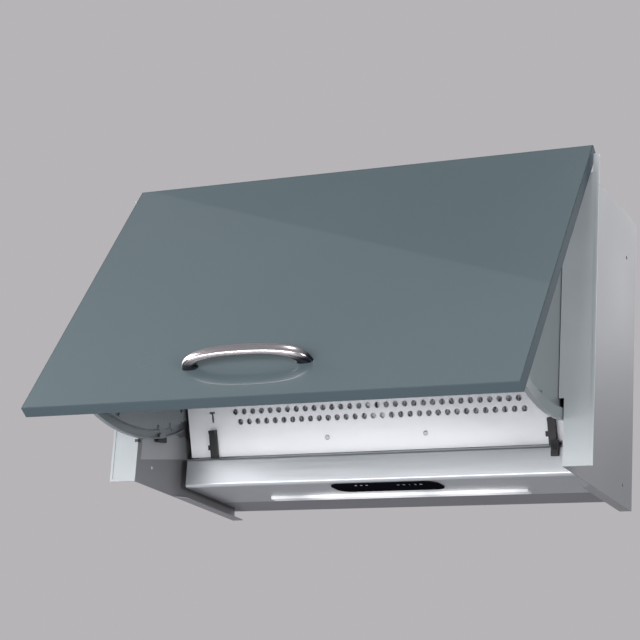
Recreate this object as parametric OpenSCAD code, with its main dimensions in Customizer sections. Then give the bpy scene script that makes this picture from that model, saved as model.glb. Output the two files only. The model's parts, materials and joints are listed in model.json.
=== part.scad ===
// Built-in range hood behind a furniture front, opened for cooking.
// X runs to the right, Y into the cabinet, Z up. Y = 0 is the cabinet's front edge.
// Z = 0 is the line where the back of the closed front meets the back of the open front.

/* [Body] */
// Width over the two front flanges
flange_span = 598; // [560:1:660]
// Width of each front flange
flange_w = 34; // [30:1:40]
// Gap between a side wall and the suction chamber, where an arm swings
arm_gap = 13; // [13:0.1:15]
// Depth of the body behind the cabinet's front edge
body_depth = 255; // [252:1:290]
// Height of the body below the fold line
body_drop = 337; // [334:1:360]
// Height of the body above the fold line
body_rise = 23; // [22:1:60]
// Thickness of the side walls, flanges, rear and top sheets
sheet = 1.2; // [0.8:0.1:1.5]
// Thickness of the inner sheets, the grille and the beam
thin_sheet = 1; // [0.7:0.1:1.2]

/* [Furniture front] */
// How far the panel's side edge stays inside the flange's outer edge
door_inset = 8; // [4:0.5:14]
// Height of the front panel
door_h = 390; // [360:1:420]
// Thickness of the front panel
door_t = 14; // [12:1:19]
// How far the panel reaches above the fold line
door_top = 25.7; // [16:0.1:27]
// Gap between the flanges and the closed panel
door_gap = 0.8; // [0.7:0.1:2]
// Angle that the panel stands open
open_angle = 33; // [25:1:40]
// Distance of the hinge axis behind the back of the panel
hinge_setback = 8; // [7.6:0.1:9]
// Radius of the hinge pins
pin_r = 3; // [2:0.1:3.5]

/* [Handle] */
// Distance between the middles of the handle's feet
handle_pitch = 128; // [96:1:160]
// Length of each foot of the handle
handle_foot = 20; // [16:1:24]
// How far the outside of the bow stands off the panel
handle_reach = 25.5; // [22:0.5:34]
// Sideways place of the handle's middle
handle_x = -28; // [-100:1:100]
// Height of the handle above the panel's lower edge
handle_rise = 51; // [30:1:80]

/* [Swing arms] */
// Outer radius of the arm's rim
rim_r = 294; // [290:0.5:298]
// How far the rim's centre lies in front of the hinge, with the front closed
rim_fore = 44.8; // [40:0.1:48]
// How far the rim's centre lies below the hinge, with the front closed
rim_below = 19.1; // [16:0.1:22]
// Width of the rim
rim_w = 13; // [10:1:16]
// Gap between the suction chamber and the arm's plate
arm_clear = 4; // [3:0.1:4.3]
// Thickness of the arm's plate
arm_t = 2; // [1.5:0.1:2.4]
// How far the rim stands out from the plate's outer face
rim_step = 5.7; // [4:0.1:6]
// Angle from straight down to the middle of the arm's nose, with the front closed
arm_span = 51.5; // [48:0.5:55]

/* [Grille] */
// Distance of the grille's top edge behind the cabinet's front edge
grille_top_y = 11.5; // [9:0.5:18]
// Distance of the grille's top edge below the roof sheet
grille_drop = 34.4; // [28:0.2:40]
// Radius of the holes
hole_r = 3.6; // [2.5:0.1:4.4]
// Distance between holes in a row
hole_pitch = 11.8; // [11:0.1:12.5]
// Distance between the two rows
row_pitch = 12.5; // [10:0.1:14]
// Number of holes in each row
holes_per_row = 32; // [20:1:33]

/* [Front beam] */
// Distance of the beam's face behind the cabinet's front edge
beam_y = 98; // [90:1:104]
// Depth of the beam's underside
beam_d = 98; // [94:1:110]
// Height of the beam's face
beam_h = 36; // [32:1:40]
// Height of the beam's underside above the bottom of the side walls
beam_lift = 12; // [8:1:16]

/* [Controls and light] */
// Length of the control panel
panel_len = 138; // [132:1:160]
// Width of the control panel
panel_w = 44; // [42:1:50]
// Sideways place of the control panel's middle
panel_x = 6; // [-20:1:20]
// Length of the light window
light_len = 336; // [300:1:400]
// Width of the light window
light_w = 14; // [12:1:30]
// Travel of a push button
button_travel = 1.2; // [0.6:0.1:1.2]

/* [Fan] */
// Radius of the fan wheel
wheel_r = 60; // [54:1:62]
// Width of the fan wheel
wheel_w = 96; // [80:1:100]
// Number of blades
blade_count = 36; // [24:1:40]
// Radius of the motor
motor_r = 36; // [30:1:38]
// Outer radius of the duct collar
collar_r = 60; // [56:0.5:60]
// Height of the duct collar
collar_h = 40; // [30:1:50]

/* [Hidden] */
$fn = 64;
fine_faces = 720;
full_turn = 360;

// Shared clearances
overrun = 5;
seat_gap = 0.3;
running_gap = 0.05;
press_slack = 0.02;
slide_gap = 0.3;
guide_gap = 0.3;

// Main planes
wall_x = flange_span / 2 - flange_w;
cheek_x = wall_x - arm_gap;
chamber_w = 2 * cheek_x;
door_w = flange_span - 2 * door_inset;
floor_z = -body_drop;
roof_z = body_rise;
roof_under = roof_z - sheet;
back_y = body_depth - sheet;
beam_under = floor_z + beam_lift;
beam_top = beam_under + beam_h;
beam_back = beam_y + beam_d;

// Furniture front, hung from the hinge axis
door_back = -sheet - door_gap;
hinge_y = door_back + hinge_setback;
hinge_z = -hinge_setback * tan(open_angle / 2);
closed_top = door_top - 2 * hinge_setback * tan(open_angle / 2);
closed_bottom = closed_top - door_h;

// Front flanges and side walls
hem_w = 3;
hem_t = 0.6;
flange_lip = 6;
flange_top = -4;
notch_top = -261.5;
notch_h = 23.8;
wall_front_top = 18;
tongue_gap_x = 1;
tongue_top = 18;
return_taper = 10;
roof_flange_w = 12;
roof_flange_front = 30;
cabinet_hole_r = 2.25;
cabinet_hole_y = 37;
cabinet_hole_pitch_y = 180;
cabinet_hole_lift = 24;
cabinet_hole_pitch_z = 280;

// Hinge brackets
eye_r = 6.5;
bracket_len = 34;
bracket_gap = 0.6;
lip_top = hinge_z - eye_r - bracket_gap;
pin_head_r = 5;
pin_head_t = 1.6;
bush_wall = 2;

// Swing arms
arm_x = cheek_x + arm_clear;
arm_eye_r = hinge_setback;
nose_over = 0.3;
rim_y = hinge_y - rim_fore;
rim_z = hinge_z - rim_below;
tab_w = 20;
tab_t = 1.5;
tab_top = -25;
tab_len = 305;
rim_sheet = 1.8;
rim_lip = 1.5;
rim_lip_in = 2.2;
stud_w = 3.6;
stud_len = 5;
stud_h = 2.4;
stud_slot_len = 1.8;
arm_hole_r = 2.2;
boss_r = 7;
boss_t = 1.2;
// Studs on the inner face: angle behind straight down when closed, and share of the rim's radius
stud_angles = [18.3, 37.7, 44];
stud_radius_shares = [0.946, 0.902, 0.886];
// Holes near the rear edge of the plate
plate_hole_angles = [46.8, 50.8, 50.7];
plate_hole_radius_shares = [0.898, 0.823, 0.873];
boss_angle = 41;

// Fixings of the front
door_screw_r = 1.75;
door_screw_head_r = 4;
door_screw_head_t = 2;
door_screw_len = 10;
door_screw_share = [0.12, 0.5, 0.88];
handle_screw_r = 2;
handle_screw_head_r = 4;
handle_screw_head_t = 2.5;
hole_slack = 0.25;
edging_t = 1;

// Handle bow
bow_t = 8;
bow_w = 14;
bow_foot_w = 9;
bow_foot_out = 4.5;
bow_rings = 30;
bow_sides = 16;
// Exponents of the arch along and off the panel, and of the bow's rounded section
arch_share = 2.6;
arch_rise_share = 2.32;
section_share = 2.5;

// Grille and its fittings
grille_setback = 10.8;
grille_gap = 3.2;
row_1 = 54.5;
rail_y = grille_top_y + 8.5;
foot_y = beam_y + grille_setback;
foot_z = beam_top + grille_gap;
grille_rise = roof_under - grille_drop - foot_z;
grille_lean = atan((foot_y - grille_top_y) / grille_rise);
grille_len = norm([foot_y - grille_top_y, grille_rise]);
grille_lip = (rail_y - seat_gap - foot_y + (grille_len - thin_sheet) * sin(grille_lean))
    / cos(grille_lean);
key_head_w = 7;
key_head_h = 3;
key_stem_w = 2.6;
key_stem_h = 12;
grille_screw_x = [-65, 62];
grille_screw_up = 18.5;
grille_screw_r = 3;
grille_screw_h = 1.8;
grille_screw_shank = 1.6;
grille_screw_depth = 2.4;

// Sliding latches, measured up the slope from the grille's lower edge
latch_w = 9;
latch_in = 34;
latch_x = cheek_x - latch_in;
latch_low = -0.9;
latch_high = 33.5;
latch_thick = 6;
latch_tab_w = 4;
latch_tab_h = 6;
latch_tab_up = 9;
latch_travel = 8;
latch_stem_w = 5;
latch_stem_h = 8;
latch_stem_up = 16;
latch_clip_w = 9;
latch_clip_h = 13;
latch_clip_t = 1;
latch_foot_t = 3;
latch_foot_drop = 14;
latch_foot_gap = 0.6;
latch_foot_aside = 5.2;
latch_foot_short = 2.5;
latch_rib = 0.8;

// Grease filters
filter_gap = 4;
filter_t = 10;
filter_low = 6;
filter_top_gap = 14;
filter_side_gap = 2;
filter_mid_gap = 1.5;
filter_frame_w = 12;
filter_mesh_t = 6;

// Front rail behind the grille's top
rail_h = 44;
rail_flange = 12;

// Beam and its caps
beam_corner_r = 4;
cap_depth = 12;
pan_lip_h = 10;

// Control panel
bezel_proud = 1.3;
bezel_rim = 2;
bezel_neck = 4;
panel_corner = 15;
panel_margin = 6.5;
button_w = 5.4;
button_d = 11;
button_pitch = 7.2;
button_first = 20;
button_front = 5.5;
button_gap = 0.3;
button_proud = 0.8;
button_flange = 0.6;
button_flange_t = 1;
button_count = 5;
pipe_r = 1.5;
pipe_pitch = 7;
pipe_first = -34.5;
pipe_in = 7.5;
pipe_count = 3;
board_t = 1.6;
board_margin = 8;
board_end = 4;
post_r = 2.2;
// Posts under the board: shares of the straight length and of the board's half width
post_shares = [[-1, 1], [1, 1], [-1, -1]];
switch_r = 2;
switch_h = 1.9;

// Light
light_back_gap = 16.7;
lens_proud = 3.5;
lens_flange = 0.9;
lens_flange_t = 1.2;
tray_h = 12;
tray_wall = 1;
led_w = 4;
led_h = 1;
led_pitch = 20;
strip_w = 10;

// Guide plates on the side walls and what slides past them
guide_t = 0.7;
guide_front = 7.6;
guide_front_drop = 28;
guide_rear = 110;
guide_rear_drop = 50;
guide_round = 14;
guide_rise = 22;
pad_len = 20;
pad_h = 5;
pad_w = 6;
clip_w = 5;
clip_h = 3.5;
clip_reach = 4;
clip_gap = 0.7;
clip_in = 0.6;

// Fan
fan_y = 160;
fan_z = -115;
scroll_wall = 1.5;
scroll_back_gap = 0.3;
scroll_end_r = back_y - fan_y - scroll_back_gap;
tongue_gap = 8;
scroll_start_r = wheel_r + tongue_gap;
scroll_side_gap = 5.5;
tongue_angle = -10;
scroll_steps = 40;
inlet_r = 46;
blade_depth = 11;
blade_t = 0.8;
blade_sweep = 9;
blade_steps = 4;
ring_t = 1.5;
hub_r = 9;
hub_w = 12;
shaft_r = 4;
motor_gap = 2;
motor_stand_off = 3;
spider_t = 1.5;
spider_arm_w = 12;
spider_disc_r = 24;
spider_foot_r = 4;
spider_reach = 51;

// Duct collar and its flaps
collar_wall = 2.5;
collar_flange = 10;
collar_flange_t = 2;
flap_t = 1;
flap_gap = 1.5;
flap_axis_gap = 3.5;
flap_rod_r = 2;
flap_up = 15;
lug_w = 6;
lug_t = 1.3;
lug_in = 3.5;
collar_y = fan_y + scroll_end_r - scroll_wall - collar_r;

// Electrical parts under the roof
box_w = 110;
box_d = 80;
box_h = 42;
box_side_gap = 26;
box_x = cheek_x - thin_sheet - box_side_gap - box_w / 2;
box_wall = 2;
capacitor_r = 16;
capacitor_len = 60;
capacitor_side_gap = 51;
capacitor_x = thin_sheet + capacitor_side_gap + capacitor_len / 2 - cheek_x;
capacitor_y = 190;
strap_w = 14;
gland_r = 8;
gland_bore = 4;
gland_h = 14;
gland_tail = 8;
gland_off = 20;
gland_x = box_x + gland_off;
gland_nut_r = 11;
gland_nut_t = 4;
case_screw_r = 1.7;
case_screw_head_r = 4;
case_screw_head_t = 2.2;
case_screw_len = 7;
case_screw_shares = [0.12, 0.5, 0.88];

// Colours
steel = [0.74, 0.76, 0.78];
pale = [0.86, 0.87, 0.89];
dark_steel = [0.42, 0.42, 0.44];
black = [0.08, 0.08, 0.09];
teal = [0.42, 0.48, 0.49];
teal_edge = [0.33, 0.38, 0.40];
nickel = [0.66, 0.63, 0.62];
light_white = [0.97, 0.97, 0.95];
green = [0.12, 0.32, 0.2];

// Extrudes a Y-Z outline along X, both ways from the middle
module across(width) {
    rotate([90, 0, 90]) linear_extrude(height = width, center = true) children();
}

// Extrudes a Y-Z outline from one X to another
module slab(x0, x1) {
    translate([x0, 0, 0]) rotate([90, 0, 90]) linear_extrude(height = x1 - x0) children();
}

// A box from its low corner to its high corner
module block(low, high) {
    translate(low) cube(high - low);
}

// A rod along X
module rod(r, x0, x1, y = 0, z = 0, faces = 64) {
    translate([x0, y, z]) rotate([0, 90, 0]) cylinder(h = x1 - x0, r = r, $fn = faces);
}

// An upright rod
module post(r, z0, z1, x = 0, y = 0) {
    translate([x, y, z0]) cylinder(h = z1 - z0, r = r);
}

// The grille's own axes: y up the slope from its lower edge, z out to the front
module on_slope() {
    translate([0, foot_y, foot_z]) rotate([90 + grille_lean, 0, 0]) children();
}

// Places a piece drawn with the front closed at its open position
module opened() {
    translate([0, hinge_y, hinge_z]) rotate([-open_angle, 0, 0]) translate([0, -hinge_y, -hinge_z])
        children();
}

module left() {
    mirror([1, 0, 0]) children();
}

// A rectangle with round corners, about its middle
module soft_rectangle(length, width, r) {
    square([length - 2 * r, width], center = true);
    square([length, width - 2 * r], center = true);
    for (x = [-1, 1], y = [-1, 1]) translate([x * (length / 2 - r), y * (width / 2 - r)]) circle(r = r);
}

// A rectangle with two round corners in front, from its low corner
module round_front(w, h, r) {
    translate([r, 0]) square([w - r, h]);
    translate([0, r]) square([w, h - 2 * r]);
    for (y = [r, h - r]) translate([r, y]) circle(r = r);
}

// A point at an angle behind straight down from the hinge
function hinge_point(radius, angle) = [hinge_y + radius * sin(angle), hinge_z - radius * cos(angle)];

// How far it is from the hinge, at an angle, to a circle about the rim's centre
function rim_reach(radius, angle) =
    let (lead = rim_fore * sin(angle) - rim_below * cos(angle))
    sqrt(pow(lead, 2) + pow(radius, 2) - pow(rim_fore, 2) - pow(rim_below, 2)) - lead;

// Side walls with their flanges, bottom returns and roof flanges
module wall_outline() {
    polygon([
        [-sheet, floor_z], [body_depth, floor_z], [body_depth, roof_z],
        [wall_front_top, roof_z], [0, flange_top], [-sheet, flange_top]
    ]);
}

module flange_outline() {
    polygon([
        [wall_x, floor_z], [flange_span / 2, floor_z], [flange_span / 2, tongue_top],
        [door_w / 2 + tongue_gap_x, tongue_top], [door_w / 2 + tongue_gap_x, flange_top],
        [wall_x, flange_top], [wall_x, lip_top], [wall_x - flange_lip, lip_top],
        [wall_x - flange_lip, notch_top], [wall_x, notch_top]
    ]);
}

module cabinet_holes() {
    for (y = [0, cabinet_hole_pitch_y], z = [0, cabinet_hole_pitch_z])
        rod(cabinet_hole_r, wall_x - overrun, wall_x + sheet + overrun,
            cabinet_hole_y + y, floor_z + cabinet_hole_lift + z);
}

module right_side() {
    color(steel) difference() {
        union() {
            slab(wall_x, wall_x + sheet) wall_outline();
            rotate([90, 0, 0]) linear_extrude(height = sheet) flange_outline();
            block([flange_span / 2 - hem_w, -sheet - hem_t, floor_z],
                  [flange_span / 2, -sheet, flange_top]);
            block([wall_x, -sheet - hem_t, floor_z],
                  [flange_span / 2 - hem_w, -sheet, floor_z + hem_w]);
            translate([0, 0, floor_z]) linear_extrude(height = sheet) polygon([
                [wall_x, beam_y], [cheek_x, beam_y + return_taper], [cheek_x, back_y], [wall_x, back_y]
            ]);
            block([wall_x - roof_flange_w, roof_flange_front, roof_under - sheet],
                  [wall_x, back_y, roof_under]);
        }
        cabinet_holes();
        case_screw_places() post(case_screw_r + running_gap, roof_under - overrun, roof_z);
        rod(pin_r, wall_x - overrun, wall_x + sheet + overrun, hinge_y, hinge_z);
    }
}

module left_side() {
    left() right_side();
}

// Screws that hold the roof to the side walls
module case_screw_places() {
    for (side = [-1, 1], share = case_screw_shares)
        translate([side * (wall_x - roof_flange_w / 2),
                   roof_flange_front + share * (back_y - roof_flange_front), 0]) children();
}

module case_screws() {
    color(steel) case_screw_places() {
        post(case_screw_r, roof_z - case_screw_len, roof_z + case_screw_head_t / 2);
        difference() {
            post(case_screw_head_r, roof_z, roof_z + case_screw_head_t);
            block([-case_screw_head_r / 2, -hem_t / 2, roof_z + case_screw_head_t / 2],
                  [case_screw_head_r / 2, hem_t / 2, roof_z + case_screw_head_t + overrun]);
        }
    }
}

module rear_panel() {
    color(steel) block([-wall_x, back_y, beam_under], [wall_x, body_depth, roof_under]);
}

module top_panel() {
    color(steel) difference() {
        block([-wall_x, rail_y, roof_under], [wall_x, body_depth, roof_z]);
        post(collar_r - collar_wall, roof_under - overrun, roof_z + overrun, 0, collar_y);
        post(gland_r, roof_under - overrun, roof_z + overrun, gland_x, collar_y);
        case_screw_places() post(case_screw_r + hole_slack, roof_under - overrun, roof_z + overrun);
    }
}

// Inner cheeks that close the suction chamber at both ends
module cheek_outline() {
    back_off = thin_sheet + seat_gap;
    low = [foot_y + back_off * cos(grille_lean), foot_z + back_off * sin(grille_lean)];
    run = grille_len - grille_lip;
    polygon([
        [low[0] + overrun, beam_top], [beam_back, beam_top], [beam_back, beam_under],
        [back_y, beam_under], [back_y, roof_under], [rail_y, roof_under],
        [rail_y, low[1] + run * cos(grille_lean)],
        [low[0] - run * sin(grille_lean), low[1] + run * cos(grille_lean)], low,
        [low[0] + overrun, low[1]]
    ]);
}

module right_cheek() {
    color(dark_steel) slab(cheek_x - thin_sheet, cheek_x) cheek_outline();
}

module left_cheek() {
    left() right_cheek();
}

module front_rail() {
    half = cheek_x - thin_sheet;
    color(steel) union() {
        block([-half, rail_y, roof_under - rail_h], [half, rail_y + sheet, roof_under]);
        block([-half, rail_y, roof_under - sheet], [half, rail_y + rail_flange, roof_under]);
    }
}

// Perforated grille with a hooked top edge
module hole_row(up, shift) {
    for (i = [0 : holes_per_row - 1])
        translate([(i - holes_per_row / 2 + shift) * hole_pitch, up, -thin_sheet - overrun])
            cylinder(h = thin_sheet + 2 * overrun, r = hole_r);
}

module key_slot() {
    translate([-latch_x - key_head_w / 2, row_1 - key_head_h / 2, -overrun])
        cube([key_head_w, key_head_h, 2 * overrun]);
    translate([-latch_x - key_stem_w / 2, row_1 - key_stem_h, -overrun])
        cube([key_stem_w, key_stem_h, 2 * overrun]);
}

module latch_slot(x) {
    translate([x - latch_stem_w / 2 - slide_gap, latch_stem_up - slide_gap, -overrun])
        cube([latch_stem_w + 2 * slide_gap, latch_stem_h + latch_travel + 2 * slide_gap, 2 * overrun]);
}

module front_grille() {
    color(pale) on_slope() difference() {
        union() {
            translate([-cheek_x, 0, -thin_sheet]) cube([chamber_w, grille_len, thin_sheet]);
            translate([-cheek_x + thin_sheet + seat_gap, grille_len - thin_sheet, -grille_lip])
                cube([chamber_w - 2 * (thin_sheet + seat_gap), thin_sheet, grille_lip]);
        }
        hole_row(row_1, 0.25);
        hole_row(row_1 - row_pitch, 0.75);
        key_slot();
        latch_slot(-latch_x);
        latch_slot(latch_x);
        for (x = grille_screw_x)
            translate([x, grille_screw_up, -overrun])
                cylinder(h = 2 * overrun, r = grille_screw_shank + press_slack);
    }
}

module grille_screws() {
    color(steel) on_slope() for (x = grille_screw_x) translate([x, grille_screw_up, 0]) {
        cylinder(h = grille_screw_h / 2, r = grille_screw_r);
        translate([0, 0, grille_screw_h / 2])
            cylinder(h = grille_screw_h / 2, r1 = grille_screw_r, r2 = grille_screw_r / 2);
        translate([0, 0, -grille_screw_depth])
            cylinder(h = grille_screw_depth, r = grille_screw_shank);
    }
}

// Sliding latches: a body on the grille, a stem through its slot and a clip behind
module latch_body(high, tab_side) {
    translate([-latch_w / 2, latch_low, slide_gap])
        cube([latch_w, high - latch_low, latch_thick - slide_gap]);
    translate([-latch_w / 2, high - latch_w / 2, latch_thick])
        cube([latch_w, latch_w / 2, latch_rib]);
    translate([tab_side > 0 ? latch_w / 2 : -latch_w / 2 - latch_tab_w, latch_tab_up, slide_gap])
        cube([latch_tab_w, latch_tab_h, latch_thick / 2]);
    translate([-latch_stem_w / 2, latch_stem_up, -thin_sheet - seat_gap])
        cube([latch_stem_w, latch_stem_h, thin_sheet + 2 * seat_gap]);
    translate([-latch_clip_w / 2, latch_stem_up + (latch_stem_h - latch_clip_h) / 2,
               -thin_sheet - seat_gap - latch_clip_t])
        cube([latch_clip_w, latch_clip_h, latch_clip_t]);
}

module left_latch() {
    color(black) on_slope() translate([-latch_x, 0, 0]) latch_body(latch_high, -1);
}

// The right latch carries a ribbed foot that laps the beam's face
module latch_foot() {
    face = beam_y - latch_foot_gap;
    knee_y = foot_y + grille_gap;
    mid = latch_x + latch_foot_aside;
    slab(mid - latch_w / 2, mid + latch_w / 2) {
        translate([face - latch_foot_t, beam_top - latch_foot_drop + latch_foot_t / 2])
            square([latch_foot_t, latch_foot_drop + grille_gap]);
        translate([face - latch_foot_t / 2, beam_top - latch_foot_drop + latch_foot_t / 2])
            circle(d = latch_foot_t);
        translate([face - latch_foot_t, beam_top + latch_foot_gap])
            square([knee_y - face - grille_gap, grille_gap]);
    }
    for (i = [-1, 0, 1])
        translate([mid + i * latch_w / 4 - latch_rib / 2, face - latch_foot_t - latch_rib,
                   beam_top - latch_foot_drop / 2])
            cube([latch_rib, latch_rib + press_slack, latch_foot_drop / 2]);
}

module right_latch() {
    color(black) union() {
        on_slope() translate([latch_x, 0, 0]) latch_body(latch_high - latch_foot_short, -1);
        latch_foot();
    }
}

// Grease filters behind the grille
filter_w = cheek_x - thin_sheet - filter_side_gap - filter_mid_gap;
filter_h = grille_len - filter_low - filter_top_gap;

module filter_frame() {
    on_slope() translate([filter_mid_gap, filter_low, -filter_gap - filter_t]) difference() {
        cube([filter_w, filter_h, filter_t]);
        translate([filter_frame_w, filter_frame_w, -overrun])
            cube([filter_w - 2 * filter_frame_w, filter_h - 2 * filter_frame_w,
                  filter_t + 2 * overrun]);
    }
}

module filter_mesh() {
    on_slope() translate([filter_mid_gap + filter_frame_w, filter_low + filter_frame_w,
                          -filter_gap - (filter_t + filter_mesh_t) / 2])
        cube([filter_w - 2 * filter_frame_w, filter_h - 2 * filter_frame_w, filter_mesh_t]);
}

module right_filter_frame() {
    color(steel) filter_frame();
}

module left_filter_frame() {
    color(steel) left() filter_frame();
}

module right_filter_mesh() {
    color(dark_steel) filter_mesh();
}

module left_filter_mesh() {
    color(dark_steel) left() filter_mesh();
}

// Angle on the beam that the filters stand on
module filter_ledge() {
    half = cheek_x - thin_sheet - seat_gap;
    back = filter_gap + filter_t + 2 * thin_sheet;
    web_low = (beam_top - foot_z - back * sin(grille_lean)) / cos(grille_lean) + 1.5 * seat_gap;
    color(steel) on_slope() {
        translate([-half, filter_low - seat_gap - thin_sheet, -back])
            cube([2 * half, thin_sheet, filter_t + thin_sheet]);
        translate([-half, web_low, -back])
            cube([2 * half, filter_low - seat_gap - web_low, thin_sheet]);
    }
}

// Front beam, a folded box with a control cut-out and a light window
panel_y = beam_y + panel_margin + panel_w / 2;
light_back = beam_back - light_back_gap;
light_front = light_back - light_w;

module beam_outline(inset) {
    translate([beam_y + inset, beam_under + inset])
        round_front(beam_d - 2 * inset, beam_h - 2 * inset, beam_corner_r - inset);
}

module panel_outline(inset) {
    soft_rectangle(panel_len - 2 * inset, panel_w - 2 * inset, panel_corner - inset);
}

module front_beam() {
    color(steel) difference() {
        across(chamber_w) difference() {
            beam_outline(0);
            beam_outline(thin_sheet);
        }
        translate([panel_x, panel_y, beam_under - overrun]) linear_extrude(height = 2 * overrun)
            panel_outline(bezel_rim - seat_gap);
        block([-light_len / 2, light_front, beam_under - overrun],
              [light_len / 2, light_back, beam_under + overrun]);
    }
}

module beam_caps() {
    inset = thin_sheet + press_slack;
    color(dark_steel) for (side = [-1, 1])
        translate([side * (cheek_x - cap_depth / 2), 0, 0]) across(cap_depth) beam_outline(inset);
}

module bottom_pan() {
    half = cheek_x - thin_sheet;
    color(dark_steel) union() {
        block([-half, beam_back, beam_under], [half, back_y, beam_under + thin_sheet]);
        block([-half, beam_back, beam_under], [half, beam_back + thin_sheet, beam_under + pan_lip_h]);
    }
}

// Control panel in the beam's underside
neck_top = beam_under + bezel_neck;
board_z = neck_top + 2 * seat_gap + button_flange_t + button_travel + switch_h;
button_y = panel_y - panel_w / 2 + button_front + button_d / 2;
pipe_y = panel_y - panel_w / 2 + pipe_in;

function button_place(i) = panel_x + button_first + i * button_pitch;
function pipe_place(i) = panel_x + pipe_first + i * pipe_pitch;

module control_bezel() {
    color(black) difference() {
        union() {
            translate([panel_x, panel_y, beam_under - bezel_proud])
                linear_extrude(height = bezel_proud) panel_outline(0);
            translate([panel_x, panel_y, beam_under - press_slack])
                linear_extrude(height = bezel_neck + press_slack) panel_outline(bezel_rim);
            for (place = post_shares)
                post(post_r, neck_top - press_slack, board_z,
                     panel_x + place[0] * (panel_len - panel_w) / 2,
                     panel_y + place[1] * (panel_w / 2 - board_margin - post_r));
        }
        for (i = [0 : button_count - 1])
            translate([button_place(i) - button_w / 2 - button_gap,
                       button_y - button_d / 2 - button_gap, beam_under - overrun])
                cube([button_w + 2 * button_gap, button_d + 2 * button_gap,
                      bezel_neck + 2 * overrun]);
        for (i = [0 : pipe_count - 1])
            post(pipe_r + press_slack, beam_under - overrun, neck_top + overrun,
                 pipe_place(i), pipe_y);
    }
}

// Push button: a cap through the bezel and a flange that keeps it in
module button(i) {
    low = beam_under - bezel_proud - button_proud;
    flange_low = neck_top + seat_gap;
    color(black) translate([button_place(i), button_y, 0]) {
        block([-button_w / 2, -button_d / 2, low],
              [button_w / 2, button_d / 2, flange_low + button_flange_t]);
        block([-button_w / 2 - button_flange, -button_d / 2 - button_flange, flange_low],
              [button_w / 2 + button_flange, button_d / 2 + button_flange,
               flange_low + button_flange_t]);
    }
}

module indicator_pipes() {
    color(light_white) for (i = [0 : pipe_count - 1])
        post(pipe_r, beam_under - bezel_proud - seat_gap, board_z, pipe_place(i), pipe_y);
}

module control_board() {
    length = panel_len - 2 * board_end;
    width = panel_w - 2 * board_margin;
    color(green) union() {
        block([panel_x - length / 2, panel_y - width / 2, board_z],
              [panel_x + length / 2, panel_y + width / 2, board_z + board_t]);
        for (i = [0 : button_count - 1])
            post(switch_r, board_z - switch_h, board_z, button_place(i), button_y);
    }
}

// Light strip: a lens in the window, a tray over it and a row of lamps
module light_lens() {
    top = beam_under + thin_sheet + lens_flange_t;
    color(light_white) union() {
        block([-light_len / 2 + seat_gap, light_front + seat_gap, beam_under - lens_proud],
              [light_len / 2 - seat_gap, light_back - seat_gap, top]);
        block([-light_len / 2 - lens_flange, light_front - lens_flange, beam_under + thin_sheet],
              [light_len / 2 + lens_flange, light_back + lens_flange, top]);
    }
}

tray_low = beam_under + thin_sheet + lens_flange_t;

module light_tray() {
    outer = lens_flange;
    inner = lens_flange - tray_wall;
    color(pale) difference() {
        block([-light_len / 2 - outer, light_front - outer, tray_low],
              [light_len / 2 + outer, light_back + outer, tray_low + tray_h]);
        block([-light_len / 2 - inner, light_front - inner, tray_low - overrun],
              [light_len / 2 + inner, light_back + inner, tray_low + tray_h - tray_wall]);
    }
}

module light_board() {
    top = tray_low + tray_h - tray_wall;
    mid = (light_front + light_back) / 2;
    count = floor(light_len / led_pitch);
    color(light_white) union() {
        block([-light_len / 2 + led_w, mid - strip_w / 2, top - board_t],
              [light_len / 2 - led_w, mid + strip_w / 2, top]);
        for (i = [0 : count - 1])
            block([(i + 0.5 - count / 2) * led_pitch - led_w / 2, mid - led_w / 2,
                   top - board_t - led_h],
                  [(i + 0.5 - count / 2) * led_pitch + led_w / 2, mid + led_w / 2,
                   top - board_t]);
    }
}

// Guide plates on the walls, pads on the rims that slide along them, and a clip in the notch
module guide_outline() {
    difference() {
        union() {
            polygon([
                [guide_front, floor_z + guide_front_drop], [guide_rear, floor_z + guide_rear_drop],
                [guide_rear + guide_round - sheet, floor_z + guide_rear_drop + sheet],
                [guide_rear - sheet, floor_z + guide_rear_drop + guide_rise + sheet],
                [guide_front, floor_z + guide_rear_drop + guide_rise + guide_round]
            ]);
            translate([guide_rear - sheet, floor_z + guide_rear_drop + guide_round])
                circle(r = guide_round);
        }
        translate([cabinet_hole_y, floor_z + cabinet_hole_lift]) circle(r = 2 * cabinet_hole_r);
    }
}

module right_guide_plate() {
    color(steel) slab(wall_x - guide_t, wall_x) guide_outline();
}

module left_guide_plate() {
    left() right_guide_plate();
}

module guide_pad() {
    outer = wall_x - guide_t - guide_gap;
    difference() {
        slab(outer - pad_w, outer) translate(hinge_point(rim_reach(rim_r, boss_angle), boss_angle))
            rotate(boss_angle) square([pad_len, 2 * pad_h], center = true);
        rod(rim_r + running_gap, arm_x - overrun, wall_x, rim_y, rim_z, fine_faces);
    }
}

module guide_pads() {
    color(black) opened() {
        guide_pad();
        left() guide_pad();
    }
}

module notch_clips() {
    top = notch_top - notch_h - clip_gap;
    color(black) left() {
        block([wall_x - clip_in, -sheet - hem_t, top - clip_h],
              [wall_x - clip_in + clip_w, -sheet, top]);
        block([wall_x - clip_in, -sheet, top - clip_h], [wall_x, clip_reach, top]);
    }
}

// Hinges of the furniture front
bracket_in = arm_x + arm_t + bracket_gap;

module right_hinge_bracket() {
    color(steel) difference() {
        slab(bracket_in, wall_x) {
            translate([hinge_y, hinge_z]) circle(r = eye_r);
            translate([hinge_y, hinge_z - eye_r]) square([bracket_len, 2 * eye_r]);
        }
        rod(pin_r, bracket_in - overrun, wall_x + overrun, hinge_y, hinge_z);
    }
}

module left_hinge_bracket() {
    left() right_hinge_bracket();
}

module hinge_pin() {
    head = arm_x - running_gap;
    rod(pin_r - press_slack, head - press_slack, wall_x + sheet, hinge_y, hinge_z);
    rod(pin_head_r, head - pin_head_t, head, hinge_y, hinge_z);
}

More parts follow.
